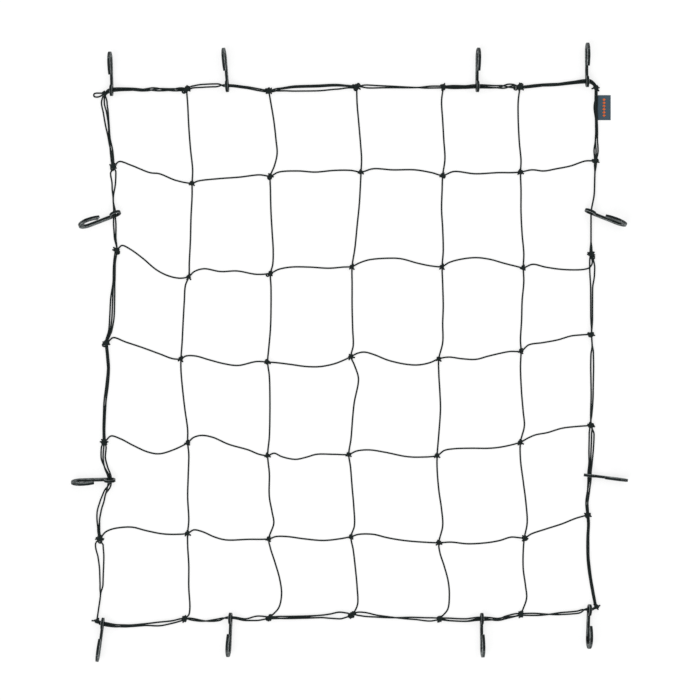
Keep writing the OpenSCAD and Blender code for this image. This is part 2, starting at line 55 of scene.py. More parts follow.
# Label: both plies' thickness, the width that stands out, its length, the hem under the cords, and
# the middle of its inner edge
LABEL_T = 0.0012
LABEL_W = 0.0265
LABEL_L = 0.045
LABEL_HEM = 0.002
LABEL_MIDDLE = (0.441, 0.438)
# The label's stitches: how far in from its edges, their length, and the two rows' counts
STITCH_IN = 0.0022
STITCH_RUN = 0.0018
SIDE_STITCHES = 14
END_STITCHES = 7
# The column of embroidered diamonds: how far from the label's inner edge, half its width, its pitch
MOTIF_X = 0.0144
MOTIF_HALF = 0.003
MOTIF_PITCH = 0.0057
MOTIF_COUNT = 6
# Strands packed round one another, and the height of a bundle that lies on the floor
TIGHT = CORD_R * 1.2
LOW = CORD_R + TIGHT
ON_LABEL = LOW + LABEL_T + 0.0003
# Heights of the cords' middles in the border knots and in the corner knots
KNOT_Z = 0.005
CORNER_Z = 0.008
# Heights at which the mesh cords pass each other in a knot
UNDER_Z = 0.0029
OVER_Z = 0.0061
# In a hook's eye: how far the strands are from the middle, and how far they run straight each way
EYE_SPREAD = 0.0031
EYE_RUN = 0.0035
# A mesh cord stops this far from the middle of its border knot
END_BACK = 0.005

EYES = {j["child"]: np.array(j["pos_m"]) - SHIFT for j in frame["joints"]}


def eye_run(hook, way, turn):
    """The two ends of the border strands' straight run through a hook's eye."""
    x, y, z = EYES[hook]
    return [
        (x + side * EYE_RUN * way[0], y + side * EYE_RUN * way[1], z, EYE_SPREAD, turn)
        for side in (-1, 1)
    ]


# --- knots: rows from top to bottom, each from left to right ---
KNOTS = [
    [
        [-0.444, 0.463], [-0.296, 0.471], [-0.148, 0.468], [0.01, 0.475], [0.166, 0.475],
        [0.304, 0.475], [0.441, 0.474],
    ],
    [
        [-0.428, 0.332], [-0.286, 0.302], [-0.145, 0.315], [0.018, 0.322], [0.165, 0.316],
        [0.305, 0.322], [0.44, 0.342],
    ],
    [
        [-0.422, 0.182], [-0.292, 0.134], [-0.145, 0.14], [0.002, 0.152], [0.164, 0.152],
        [0.31, 0.15], [0.432, 0.175],
    ],
    [
        [-0.44, 0.014], [-0.306, -0.014], [-0.15, -0.02], [0.0, -0.01], [0.158, -0.014],
        [0.306, 0.0], [0.432, 0.03],
    ],
    [
        [-0.444, -0.164], [-0.294, -0.165], [-0.15, -0.188], [-0.004, -0.186], [0.155, -0.188],
        [0.305, -0.164], [0.432, -0.134],
    ],
    [
        [-0.452, -0.338], [-0.294, -0.328], [-0.148, -0.338], [0.0, -0.334], [0.158, -0.345],
        [0.312, -0.336], [0.426, -0.295],
    ],
    [
        [-0.457, -0.486], [-0.3, -0.482], [-0.146, -0.48], [0.002, -0.475], [0.16, -0.482],
        [0.306, -0.474], [0.442, -0.46],
    ]
]
V_ROUTES = [
    [
        [[-0.294, 0.445], [-0.292, 0.405], [-0.289, 0.365], [-0.285, 0.325]],
        [[-0.286, 0.28], [-0.288, 0.24], [-0.289, 0.2], [-0.291, 0.16]],
        [[-0.298, 0.118], [-0.3, 0.09], [-0.302, 0.055], [-0.304, 0.015]],
        [[-0.306, -0.035], [-0.303, -0.07], [-0.299, -0.105], [-0.294, -0.142]],
        [[-0.292, -0.185], [-0.293, -0.225], [-0.294, -0.262], [-0.292, -0.305]],
        [[-0.294, -0.35], [-0.292, -0.385], [-0.292, -0.425], [-0.29, -0.463], [-0.292, -0.475]]
    ],
    [
        [[-0.144, 0.445], [-0.139, 0.415], [-0.135, 0.38], [-0.133, 0.355], [-0.138, 0.333]],
        [[-0.145, 0.29], [-0.144, 0.25], [-0.142, 0.215], [-0.14, 0.18], [-0.141, 0.155]],
        [[-0.144, 0.115], [-0.144, 0.075], [-0.145, 0.04], [-0.148, 0.005]],
        [[-0.147, -0.045], [-0.146, -0.08], [-0.146, -0.115], [-0.147, -0.155]],
        [[-0.147, -0.22], [-0.147, -0.262], [-0.142, -0.29], [-0.139, -0.31]],
        [[-0.145, -0.355], [-0.137, -0.38], [-0.128, -0.412], [-0.125, -0.438], [-0.13, -0.462]]
    ],
    [
        [[0.011, 0.445], [0.014, 0.41], [0.017, 0.375], [0.019, 0.345]],
        [[0.017, 0.3], [0.015, 0.265], [0.011, 0.225], [0.007, 0.185]],
        [[0.002, 0.12], [0.002, 0.08], [0.003, 0.04], [0.004, 0.01]],
        [
            [0.006, -0.025], [0.013, -0.046], [0.013, -0.058], [0.006, -0.092], [0.003, -0.12],
            [0.0, -0.158],
        ],
        [[-0.001, -0.208], [0.002, -0.245], [0.005, -0.28], [0.006, -0.315]],
        [[0.004, -0.358], [0.008, -0.392], [0.011, -0.425], [0.012, -0.455], [0.008, -0.466]]
    ],
    [
        [[0.163, 0.45], [0.165, 0.415], [0.167, 0.38], [0.169, 0.345]],
        [[0.164, 0.29], [0.163, 0.255], [0.165, 0.22], [0.166, 0.18]],
        [[0.165, 0.12], [0.166, 0.08], [0.165, 0.05], [0.165, 0.015]],
        [[0.158, -0.04], [0.16, -0.075], [0.161, -0.105], [0.158, -0.15]],
        [[0.155, -0.212], [0.158, -0.25], [0.163, -0.285], [0.165, -0.315]],
        [[0.16, -0.363], [0.168, -0.388], [0.175, -0.415], [0.177, -0.44], [0.174, -0.465]]
    ],
    [
        [[0.301, 0.45], [0.301, 0.415], [0.303, 0.375], [0.306, 0.342]],
        [[0.306, 0.29], [0.306, 0.25], [0.308, 0.21], [0.311, 0.175]],
        [[0.311, 0.125], [0.308, 0.09], [0.307, 0.055], [0.305, 0.02]],
        [[0.305, -0.03], [0.307, -0.075], [0.31, -0.11], [0.312, -0.135]],
        [[0.305, -0.195], [0.31, -0.235], [0.315, -0.275], [0.317, -0.31]],
        [[0.31, -0.36], [0.31, -0.392], [0.314, -0.422], [0.316, -0.445]]
    ]
]
H_ROUTES = [
    [
        [[-0.417, 0.341], [-0.395, 0.334], [-0.362, 0.321], [-0.345, 0.319], [-0.315, 0.307]],
        [[-0.275, 0.306], [-0.24, 0.31], [-0.2, 0.313], [-0.165, 0.317]],
        [[-0.13, 0.322], [-0.095, 0.324], [-0.065, 0.322], [-0.03, 0.325], [0.0, 0.325]],
        [[0.04, 0.328], [0.075, 0.326], [0.115, 0.326], [0.145, 0.321]],
        [[0.185, 0.323], [0.223, 0.319], [0.265, 0.321], [0.29, 0.321]],
        [[0.326, 0.326], [0.347, 0.324], [0.37, 0.328], [0.395, 0.333], [0.422, 0.342]]
    ],
    [
        [
            [-0.412, 0.19], [-0.397, 0.183], [-0.375, 0.167], [-0.35, 0.146], [-0.328, 0.135],
            [-0.307, 0.131],
        ],
        [[-0.282, 0.143], [-0.265, 0.148], [-0.235, 0.143], [-0.205, 0.144], [-0.17, 0.138]],
        [[-0.13, 0.147], [-0.108, 0.151], [-0.075, 0.151], [-0.04, 0.149], [-0.014, 0.151]],
        [
            [0.014, 0.158], [0.032, 0.164], [0.068, 0.167], [0.09, 0.166], [0.12, 0.158],
            [0.145, 0.153],
        ],
        [
            [0.176, 0.159], [0.197, 0.165], [0.225, 0.168], [0.25, 0.165], [0.275, 0.158],
            [0.295, 0.153],
        ],
        [
            [0.327, 0.156], [0.35, 0.151], [0.378, 0.147], [0.405, 0.146], [0.42, 0.147, 0.004],
            [0.429, 0.15, 0.0076], [0.434, 0.158, 0.006],
        ]
    ],
    [
        [[-0.428, 0.024], [-0.405, 0.016], [-0.375, 0.006], [-0.345, -0.005], [-0.32, -0.014]],
        [
            [-0.297, -0.009], [-0.28, -0.009], [-0.255, -0.016], [-0.228, -0.023],
            [-0.203, -0.026], [-0.17, -0.019],
        ],
        [
            [-0.135, -0.021], [-0.11, -0.024], [-0.08, -0.028], [-0.055, -0.028], [-0.03, -0.023],
            [-0.012, -0.016],
        ],
        [
            [0.012, -0.004], [0.024, -0.002], [0.04, -0.006], [0.068, -0.017], [0.1, -0.024],
            [0.122, -0.025], [0.142, -0.021],
        ],
        [[0.176, -0.011], [0.2, -0.014], [0.225, -0.015], [0.248, -0.009], [0.285, -0.001]],
        [[0.32, 0.011], [0.345, 0.015], [0.372, 0.02], [0.396, 0.027], [0.415, 0.029]]
    ],
    [
        [
            [-0.432, -0.153], [-0.415, -0.158], [-0.392, -0.17], [-0.365, -0.182],
            [-0.345, -0.185], [-0.32, -0.178],
        ],
        [
            [-0.284, -0.156], [-0.27, -0.152], [-0.25, -0.155], [-0.22, -0.168], [-0.185, -0.178],
            [-0.165, -0.186],
        ],
        [
            [-0.138, -0.184], [-0.125, -0.19], [-0.1, -0.195], [-0.08, -0.191], [-0.062, -0.186],
            [-0.03, -0.186],
        ],
        [[0.01, -0.18], [0.032, -0.178], [0.06, -0.182], [0.1, -0.19], [0.125, -0.191]],
        [[0.168, -0.179], [0.185, -0.176], [0.215, -0.175], [0.25, -0.175], [0.275, -0.172]],
        [[0.318, -0.157], [0.332, -0.151], [0.353, -0.147], [0.38, -0.139], [0.405, -0.136]]
    ],
    [
        [
            [-0.442, -0.326], [-0.428, -0.32], [-0.395, -0.317], [-0.37, -0.323], [-0.34, -0.329],
            [-0.315, -0.33],
        ],
        [[-0.283, -0.322], [-0.268, -0.325], [-0.245, -0.335], [-0.225, -0.34], [-0.185, -0.339]],
        [[-0.135, -0.334], [-0.115, -0.334], [-0.085, -0.338], [-0.05, -0.341], [-0.02, -0.338]],
        [[0.014, -0.33], [0.04, -0.33], [0.065, -0.336], [0.095, -0.341], [0.13, -0.344]],
        [[0.18, -0.344], [0.21, -0.347], [0.245, -0.345], [0.268, -0.341], [0.288, -0.335]],
        [[0.325, -0.329], [0.352, -0.32], [0.38, -0.311], [0.405, -0.301]]
    ]
]
CORNER_LOOP = [
    [-0.447, 0.464, 0.005], [-0.452, 0.464, 0.003], [-0.458, 0.464, 0.0018],
    [-0.462, 0.463, CORD_R], [-0.463, 0.4605, CORD_R], [-0.462, 0.458, CORD_R],
    [-0.458, 0.457, 0.0018], [-0.452, 0.458, 0.003], [-0.447, 0.461, 0.005]
]
TOP_CELLS = [
    [
        (-0.441, 0.464, CORNER_Z, TIGHT, 30),
        *eye_run("hook_top_1", (1, 0.25), 30),
        (-0.408, 0.471, LOW, 0.0024, 30),
        (-0.374, 0.47, LOW, 0.0019, -60),
        (-0.352, 0.471, LOW, 0.0028, -150),
        (-0.328, 0.47, LOW, TIGHT, -240),
        (-0.306, 0.471, LOW, 0.0028, -330)
    ],
    [
        (-0.296, 0.471, KNOT_Z, TIGHT, -330),
        (-0.285, 0.475, LOW, 0.002, -330),
        (-0.268, 0.477, LOW, 0.003, -330),
        (-0.245, 0.478, LOW, 0.003, -330),
        *eye_run("hook_top_2", (1, 0), -450),
        (-0.19, 0.474, LOW, TIGHT, -480),
        (-0.165, 0.47, LOW, TIGHT, -510)
    ],
    [
        (-0.148, 0.468, KNOT_Z, TIGHT, -540),
        (-0.125, 0.471, LOW, 0.003, -435),
        (-0.1, 0.473, LOW, 0.0055, -435),
        (-0.06, 0.474, LOW, 0.006, -435),
        (-0.025, 0.476, LOW, 0.005, -435),
        (-0.005, 0.476, LOW, 0.0025, -435)
    ],
    [
        (0.01, 0.475, KNOT_Z, TIGHT, -420),
        (0.031, 0.476, LOW, 0.003, -510),
        (0.06, 0.476, LOW, 0.0022, -540),
        (0.12, 0.475, LOW, TIGHT, -600),
        (0.15, 0.475, LOW, 0.002, -690)
    ],
    [
        (0.166, 0.475, KNOT_Z, TIGHT, -690),
        (0.185, 0.475, LOW, 0.003, -690),
        (0.205, 0.475, LOW, 0.0025, -690),
        *eye_run("hook_top_3", (1, 0), -690),
        (0.262, 0.475, LOW, 0.0025, -720),
        (0.29, 0.477, LOW, 0.0035, -870)
    ],
    [
        (0.304, 0.475, KNOT_Z, TIGHT, -900),
        (0.33, 0.477, LOW, 0.002, -930),
        (0.37, 0.48, LOW, 0.002, -1010),
        (0.4, 0.483, LOW, 0.0022, -1050),
        *eye_run("hook_top_4", (1, 0), -1050),
        (0.436, 0.481, CORNER_Z, 0.0022, -1050),
        (0.44, 0.476, CORNER_Z, TIGHT, -1050)
    ]
]
RIGHT_CELLS = [
    [
        (0.441, 0.471, 0.006, TIGHT, 30),
        (0.441, 0.463, ON_LABEL, TIGHT, 30),
        (0.44, 0.44, ON_LABEL, 0.0028, -30),
        (0.442, 0.414, ON_LABEL, TIGHT, -60),
        (0.442, 0.396, LOW, TIGHT, -90),
        (0.441, 0.378, LOW, 0.0025, -120),
        (0.441, 0.36, LOW, 0.0042, -150)
    ],
    [
        (0.44, 0.342, KNOT_Z, TIGHT, -150),
        (0.438, 0.32, LOW, TIGHT, -60),
        (0.437, 0.285, LOW, TIGHT, -60),
        *eye_run("hook_right_1", (-0.1, -1), -60),
        (0.431, 0.222, LOW, TIGHT, -60),
        (0.431, 0.2, LOW, TIGHT, -60)
    ],
    [
        (0.432, 0.175, KNOT_Z, TIGHT, 30),
        (0.433, 0.163, LOW, 0.004, 30),
        (0.434, 0.15, LOW, 0.0052, 30),
        (0.434, 0.135, LOW, 0.0045, 30),
        (0.433, 0.112, LOW, 0.002, 30),
        (0.433, 0.07, LOW, TIGHT, 30)
    ],
    [
        (0.432, 0.03, KNOT_Z, TIGHT, -60),
        (0.433, 0.012, LOW, TIGHT, -60),
        (0.434, -0.008, LOW, 0.0026, -150),
        (0.434, -0.028, LOW, 0.003, -150),
        (0.434, -0.048, LOW, 0.0026, -150),
        (0.434, -0.075, LOW, 0.0021, -150),
        (0.433, -0.115, LOW, TIGHT, -200)
    ],
    [
        (0.432, -0.134, KNOT_Z, TIGHT, -280),
        (0.433, -0.15, LOW, 0.005, -330),
        (0.432, -0.18, LOW, 0.0045, -330),
        (0.431, -0.202, LOW, 0.0032, -330),
        *eye_run("hook_right_2", (0, -1), -330),
        (0.427, -0.25, LOW, 0.0023, -360),
        (0.425, -0.275, LOW, 0.0022, -420)
    ],
    [
        (0.426, -0.295, KNOT_Z, TIGHT, -450),
        (0.427, -0.31, LOW, TIGHT, -470),
        (0.426, -0.335, LOW, TIGHT, -490),
        (0.427, -0.37, LOW, 0.002, -540),
        (0.43, -0.405, LOW, 0.002, -590),
        (0.435, -0.432, LOW, TIGHT, -630),
        (0.44, -0.456, 0.006, TIGHT, -660)
    ]
]
BOTTOM_CELLS = [
    [
        (-0.453, -0.488, CORNER_Z, TIGHT, 30),
        *eye_run("hook_bottom_1", (1, -0.25), 30),
        (-0.418, -0.495, LOW, 0.0022, 0),
        (-0.395, -0.494, LOW, TIGHT, -60),
        (-0.372, -0.492, LOW, 0.002, -60),
        (-0.344, -0.49, LOW, 0.0044, -60),
        (-0.322, -0.487, LOW, 0.003, -60)
    ],
    [
        (-0.3, -0.482, KNOT_Z, TIGHT, -60),
        (-0.285, -0.483, LOW, TIGHT, -150),
        (-0.262, -0.485, LOW, TIGHT, -240),
        (-0.24, -0.484, LOW, TIGHT, -330),
        *eye_run("hook_bottom_2", (1, 0), -450),
        (-0.19, -0.484, LOW, 0.002, -480),
        (-0.168, -0.481, LOW, 0.0045, -510)
    ],
    [
        (-0.146, -0.48, KNOT_Z, TIGHT, -510),
        (-0.125, -0.48, LOW, 0.0024, -480),
        (-0.09, -0.479, LOW, 0.0022, -450),
        (-0.055, -0.477, LOW, 0.0028, -420),
        (-0.038, -0.476, LOW, 0.005, -420),
        (-0.02, -0.474, LOW, 0.008, -420),
        (-0.008, -0.474, LOW, 0.005, -420)
    ],
    [
        (0.002, -0.475, KNOT_Z, TIGHT, -420),
        (0.014, -0.473, LOW, 0.0035, -510),
        (0.024, -0.474, LOW, 0.004, -510),
        (0.05, -0.477, LOW, 0.002, -540),
        (0.08, -0.479, LOW, TIGHT, -600),
        (0.115, -0.481, LOW, 0.0022, -680),
        (0.142, -0.483, LOW, 0.0034, -690)
    ],
    [
        (0.16, -0.482, KNOT_Z, TIGHT, -690),
        (0.18, -0.484, LOW, 0.003, -720),
        (0.205, -0.485, LOW, 0.003, -720),
        *eye_run("hook_bottom_3", (1, 0), -690),
        (0.262, -0.483, LOW, 0.002, -750),
        (0.28, -0.479, LOW, 0.0026, -810),
        (0.295, -0.476, LOW, 0.003, -840)
    ],
    [
        (0.306, -0.474, KNOT_Z, TIGHT, -870),
        (0.325, -0.474, LOW, 0.0022, -870),
        (0.356, -0.473, LOW, TIGHT, -960),
        (0.385, -0.472, LOW, 0.0022, -1050),
        (0.408, -0.47, LOW, 0.0024, -1050),
        *eye_run("hook_bottom_4", (1, 0), -1170),
        (0.439, -0.463, CORNER_Z, TIGHT, -1170)
    ]
]
LEFT_CELLS = [
    [
        (-0.444, 0.459, 0.005, 0.0024, 30),
        (-0.444, 0.447, LOW, 0.0058, 30),
        (-0.441, 0.43, LOW, 0.0052, 40),
        (-0.438, 0.407, LOW, 0.004, 50),
        (-0.435, 0.382, LOW, TIGHT, 30),
        (-0.431, 0.358, LOW, 0.0026, -20)
    ],
    [
        (-0.428, 0.332, KNOT_Z, TIGHT, -60),
        (-0.428, 0.32, LOW, 0.0055, -150),
        (-0.427, 0.302, LOW, 0.0036, -150),
        (-0.427, 0.272, LOW, TIGHT, -240),
        *eye_run("hook_left_1", (0, -1), -210),
        (-0.425, 0.222, LOW, 0.0023, -150),
        (-0.425, 0.205, LOW, TIGHT, -120)
    ],
    [
        (-0.422, 0.182, KNOT_Z, TIGHT, -60),
        (-0.425, 0.16, LOW, TIGHT, -60),
        (-0.427, 0.125, LOW, 0.002, 0),
        (-0.429, 0.092, LOW, 0.0042, 30),
        (-0.43, 0.065, LOW, 0.0046, 30),
        (-0.433, 0.038, LOW, 0.0032, 30)
    ],
    [
        (-0.44, 0.014, KNOT_Z, TIGHT, 30),
        (-0.438, -0.01, LOW, TIGHT, 30),
        (-0.437, -0.03, LOW, 0.002, 0),
        (-0.439, -0.062, LOW, 0.0022, -30),
        (-0.442, -0.09, LOW, 0.0023, -60),
        (-0.444, -0.12, LOW, TIGHT, -90),
        (-0.445, -0.145, LOW, TIGHT, -120)
    ],
    [
        (-0.444, -0.164, KNOT_Z, TIGHT, -150),
        (-0.445, -0.174, LOW, 0.005, -150),
        (-0.446, -0.19, LOW, 0.0044, -150),
        (-0.442, -0.208, LOW, 0.0036, -120),
        *eye_run("hook_left_2", (0, -1), -90),
        (-0.443, -0.257, LOW, 0.003, -180),
        (-0.447, -0.271, LOW, 0.0045, -180),
        (-0.452, -0.288, LOW, 0.0045, -180),
        (-0.454, -0.305, LOW, 0.003, -180),
        (-0.454, -0.322, LOW, TIGHT, -210)
    ],
    [
        (-0.452, -0.338, KNOT_Z, TIGHT, -210),
        (-0.453, -0.349, LOW, 0.008, -150),
        (-0.45, -0.371, LOW, 0.006, -150),
        (-0.449, -0.394, LOW, 0.004, -150),
        (-0.449, -0.42, LOW, 0.003, -150),
        (-0.45, -0.44, LOW, TIGHT, -240),
        (-0.453, -0.462, LOW, TIGHT, -240),
        (-0.456, -0.483, 0.006, TIGHT, -240)
    ]
]
# The runs of cells that have a third strand
THIRDS = {
    "top": [(0, 0), (2, 2), (4, 5)],
    "right": [(0, 0), (4, 5)],
    "bottom": [(0, 0), (2, 2), (4, 4)],
    "left": [(0, 0), (2, 4)],
}
SIDES = {"top": TOP_CELLS, "right": RIGHT_CELLS, "bottom": BOTTOM_CELLS, "left": LEFT_CELLS}


# --- camera: straight above, from far away ---
def make_camera():
    """A long lens that looks straight down at the net, a little off its middle as in the photograph."""
    data = bpy.data.cameras.new("camera")
    data.lens = 400
    data.sensor_width = 36
    data.clip_end = 100
    camera = bpy.data.objects.new("camera", data)
    camera.location = (0.0008, 0.0041, 14.0)
    bpy.context.scene.collection.objects.link(camera)
    bpy.context.scene.camera = camera


# --- lines through points ---
def on_curve(points, step=0.0025):
    """Points about step apart on a smooth line through the given ones (centripetal Catmull-Rom)."""
    points = np.array(points, float)
    ends = np.vstack([2 * points[0] - points[1], points, 2 * points[-1] - points[-2]])
    line = []
    for i in range(len(points) - 1):
        p = ends[i:i + 4]
        t = np.concatenate([[0], np.cumsum(np.linalg.norm(np.diff(p, axis=0), axis=1) ** 0.5)])
        count = max(2, math.ceil(np.linalg.norm(p[2] - p[1]) / step))
        s = np.linspace(t[1], t[2], count, endpoint=False)[:, None]
        a = [((t[k + 1] - s) * p[k] + (s - t[k]) * p[k + 1]) / (t[k + 1] - t[k]) for k in range(3)]
        b = [((t[k + 2] - s) * a[k] + (s - t[k]) * a[k + 1]) / (t[k + 2] - t[k]) for k in range(2)]
        line.append(((t[2] - s) * b[0] + (s - t[1]) * b[1]) / (t[2] - t[1]))
    return np.vstack(line + [points[-1:]])


def between_stations(stations, step=0.0025):
    """Stations about step apart, with no value beyond those of its neighbours (monotone cubic)."""
    stations = np.array(stations, float)
    gaps = np.linalg.norm(np.diff(stations[:, :2], axis=0), axis=1)
    rates = np.diff(stations, axis=0) / gaps[:, None]
    slopes = np.zeros_like(stations)
    same_way = rates[:-1] * rates[1:] > 0
    steep = 2 * rates[:-1] * rates[1:] / np.where(same_way, rates[:-1] + rates[1:], 1)
    slopes[1:-1] = np.where(same_way, steep, 0)
    slopes[0] = rates[0]
    slopes[-1] = rates[-1]
    out = []
    for i, gap in enumerate(gaps):
        t = np.linspace(0, 1, max(2, math.ceil(gap / step)), endpoint=False)[:, None]
        out.append(
            (2 * t**3 - 3 * t**2 + 1) * stations[i] + (t**3 - 2 * t**2 + t) * gap * slopes[i]
            + (3 * t**2 - 2 * t**3) * stations[i + 1] + (t**3 - t**2) * gap * slopes[i + 1]
        )
    return np.vstack(out + [stations[-1:]])


def unit(v):
    """The vector of length 1 that points the same way."""
    return v / np.linalg.norm(v)


def stop_at(knot, towards):
    """Where a mesh cord that comes from a point ends in its border knot."""
    knot = np.array(knot)
    end = knot + END_BACK * unit(np.array(towards[:2]) - knot)
    return [end[0], end[1], KNOT_Z]


def on_floor(p):
    """A route point with its height, which is that of a cord on the floor unless it has its own."""
    return list(p) if len(p) > 2 else [p[0], p[1], CORD_R]


def mesh_line(knots, cells, z_in_knot):
    """A mesh cord's line from border to border."""
    points = [stop_at(knots[0], cells[0][0])]
    for i, cell in enumerate(cells):
        points += [on_floor(p) for p in cell]
        if i < len(cells) - 1:
            points.append([*knots[i + 1], z_in_knot])
    points.append(stop_at(knots[-1], cells[-1][-1]))
    line = on_curve(points)
    line[:, 2] = np.maximum(line[:, 2], CORD_R)
    return line + SHIFT


def strand_line(cells, run, strand):
    """One strand of a border bundle: it winds round the bundle's middle, above the floor."""
    first, last = run
    stations = [s for cell in cells[first:last + 1] for s in cell]
    if last < len(cells) - 1:
        stations.append(cells[last + 1][0])
    full = between_stations(stations)
    ways = np.gradient(full[:, :2], axis=0)
    ways /= np.linalg.norm(ways, axis=1)[:, None]
    turn = np.radians(full[:, 4] + 120 * strand)
    across = full[:, 3] * np.cos(turn)
    up = np.minimum(full[:, 3], full[:, 2] - CORD_R) * np.sin(turn)
    line = np.column_stack([
        full[:, 0] - ways[:, 1] * across,
        full[:, 1] + ways[:, 0] * across,
        full[:, 2] + up,
    ])
    return line + SHIFT


# --- cord meshes ---
def tube_parts(line, radius, sides):
    """Vertices, faces and UVs of a round cord: u goes once round it, and v along it in metres."""
    line = np.array(line, float)
    way_in, way_out = unit(line[1] - line[0]), unit(line[-2] - line[-1])
    line = np.vstack([line[:1], line[:1] + way_in * radius * 0.35, line[1:-1],
                      line[-1:] + way_out * radius * 0.35, line[-1:]])
    radii = np.full(len(line), radius)
    radii[[0, -1]] = radius * 0.72
    ways = np.gradient(line, axis=0)
    ways /= np.linalg.norm(ways, axis=1)[:, None]
    side = np.cross(ways[0], (0.0, 0.0, 1.0))
    side = unit(side if np.linalg.norm(side) > 0.1 else np.array([1.0, 0.0, 0.0]))
    across = np.zeros_like(line)
    for i, way in enumerate(ways):
        side = unit(side - way * np.dot(side, way))
        across[i] = side
    up = np.cross(across, ways)
    angles = np.linspace(0, 2 * math.pi, sides, endpoint=False)
    ring = np.cos(angles)[None, :, None] * across[:, None] + np.sin(angles)[None, :, None] * up[:, None]
    verts = (line[:, None] + radii[:, None, None] * ring).reshape(-1, 3)
    rings = len(line)
    i, k = np.meshgrid(np.arange(rings - 1), np.arange(sides), indexing="ij")
    after = (k + 1) % sides
    quads = np.stack([i * sides + k, (i + 1) * sides + k, (i + 1) * sides + after, i * sides + after], -1)
    along = np.concatenate([[0], np.cumsum(np.linalg.norm(np.diff(line, axis=0), axis=1))])
    corner_u = np.stack([k, k, k + 1, k + 1], -1) / sides
    corner_v = np.stack([along[i], along[i + 1], along[i + 1], along[i]], -1)
    uvs = np.stack([corner_u, corner_v], -1).reshape(-1, 2)
    caps = [list(range(sides)), [(rings - 1) * sides + k for k in reversed(range(sides))]]
    cap_uvs = np.tile([[0.5, 0.0]], (2 * sides, 1))
    return verts, quads.reshape(-1, 4).tolist() + caps, np.vstack([uvs, cap_uvs])


def cord_object(name, lines, material, radius=CORD_R, sides=12):
    """One mesh of round cords along the given lines."""
    verts, faces, uvs, base = [], [], [], 0
    for line in lines:
        v, f, uv = tube_parts(line, radius, sides)
        faces += [[base + n for n in face] for face in f]
        verts.append(v)
        uvs.append(uv)
        base += len(v)
    mesh = bpy.data.meshes.new(name)
    mesh.from_pydata(np.vstack(verts).tolist(), [], faces)
    layer = mesh.uv_layers.new(name="UVMap")
    layer.data.foreach_set("uv", np.vstack(uvs).ravel())
    mesh.shade_smooth()
    mesh.materials.append(material)
    obj = bpy.data.objects.new(name, mesh)
    bpy.context.scene.collection.objects.link(obj)
    return obj


def free_cord(name, line, node, material):
    """A length of elastic cord that stands for a CAD node."""
    obj = cord_object(name, [line], material)
    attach(obj, "net")
    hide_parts(node)
    return obj


def make_cords(material):
    """The ten mesh cords, the border's strands and the bight at the top left corner."""
    for n in range(1, 6):
        column = [row[n] for row in KNOTS]
        free_cord(f"cord_v{n}_braid", mesh_line(column, V_ROUTES[n - 1], UNDER_Z), f"cord_v{n}", material)
        free_cord(f"cord_h{n}_braid", mesh_line(KNOTS[n], H_ROUTES[n - 1], OVER_Z), f"cord_h{n}", material)
    for side, cells in SIDES.items():
        for letter, strand in (("a", 0), ("b", 1)):
            line = strand_line(cells, (0, len(cells) - 1), strand)
            free_cord(f"{side}_strand_{letter}_braid", line, f"{side}_strand_{letter}", material)
        for number, run in enumerate(THIRDS[side], 1):
            line = strand_line(cells, run, 2)
            free_cord(f"{side}_strand_c{number}_braid", line, f"{side}_strand_c", material)
    free_cord("corner_loop_braid", on_curve(CORNER_LOOP, 0.001) + SHIFT, "corner_loop", material)


# --- knots, tied in cord ---
def placed(points, place, angle=0.0, scale=1.0):
    """Points in millimetres round a knot's middle, turned, scaled and moved to its place."""
    c, s = math.cos(math.radians(angle)), math.sin(math.radians(angle))
    return [
        [place[0] + (c * x - s * y) * scale / 1000, place[1] + (s * x + c * y) * scale / 1000, z / 1000]
        for x, y, z in points
    ]


def variety(column, row, low, high):
    """A number between low and high that differs from knot to knot."""
    return low + (high - low) * (0.5 + 0.5 * math.sin(5.3 * column + 9.1 * row + 1.7 * column * row))


def overhand(size, height):
    """The closed turns of a tight overhand knot, size across at the middle of the cord."""
    points = []
    for i in range(49):
        t = 2 * math.pi * i / 48
        x = (math.sin(t) + 2 * math.sin(2 * t)) * size / 6
        y = (math.cos(t) - 2 * math.cos(2 * t)) * size / 6
        points.append((x, y, height / 2 - math.sin(3 * t) * (height / 2 - 1.6)))
    return points


def tail(angle, reach, height):
    """A short cut end of cord that leaves a knot sideways and sinks to the floor."""
    c, s = math.cos(math.radians(angle)), math.sin(math.radians(angle))
    return [(c * r, s * r, z) for r, z in ((1.0, height), (3.2, height), (reach, height * 0.8))]


def eyelet(x, y, radius, height):
    """A small slack loop beside a knot."""
    return [
        (x + radius * math.cos(math.radians(a)), y + radius * math.sin(math.radians(a)), height)
        for a in range(0, 361, 20)
    ]


def hitch(turns, half_width, height, pitch, tail_reach):
    """A cord wound round a bundle that runs along X, with its cut end out to one side."""
    middle, half = height / 2, height / 2 - 1.6
    start = -pitch * turns / 2
    points = [(start - 1.5, -tail_reach, 2.2), (start - 0.6, -half_width - 1.2, 2.6)]
    steps = int(turns * 16)
    for i in range(steps + 1):
        a = math.radians(200 - 360 * i / 16)
        points.append((start + pitch * i / 16, half_width * math.cos(a), middle + half * math.sin(a)))
    points.append((start + pitch * turns + 0.5, half_width + 1.0, 3.0))
    return points


# Slack loops that show beside some knots: column and row to x, y and radius in millimetres
SLACK = {(2, 1): (-1.5, -3.0, 3.2), (2, 2): (-5.0, -3.2, 2.3), (4, 1): (2.0, -1.6, 2.4),
         (2, 3): (-1.5, 2.2, 2.3), (5, 5): (2.2, -1.8, 2.8)}


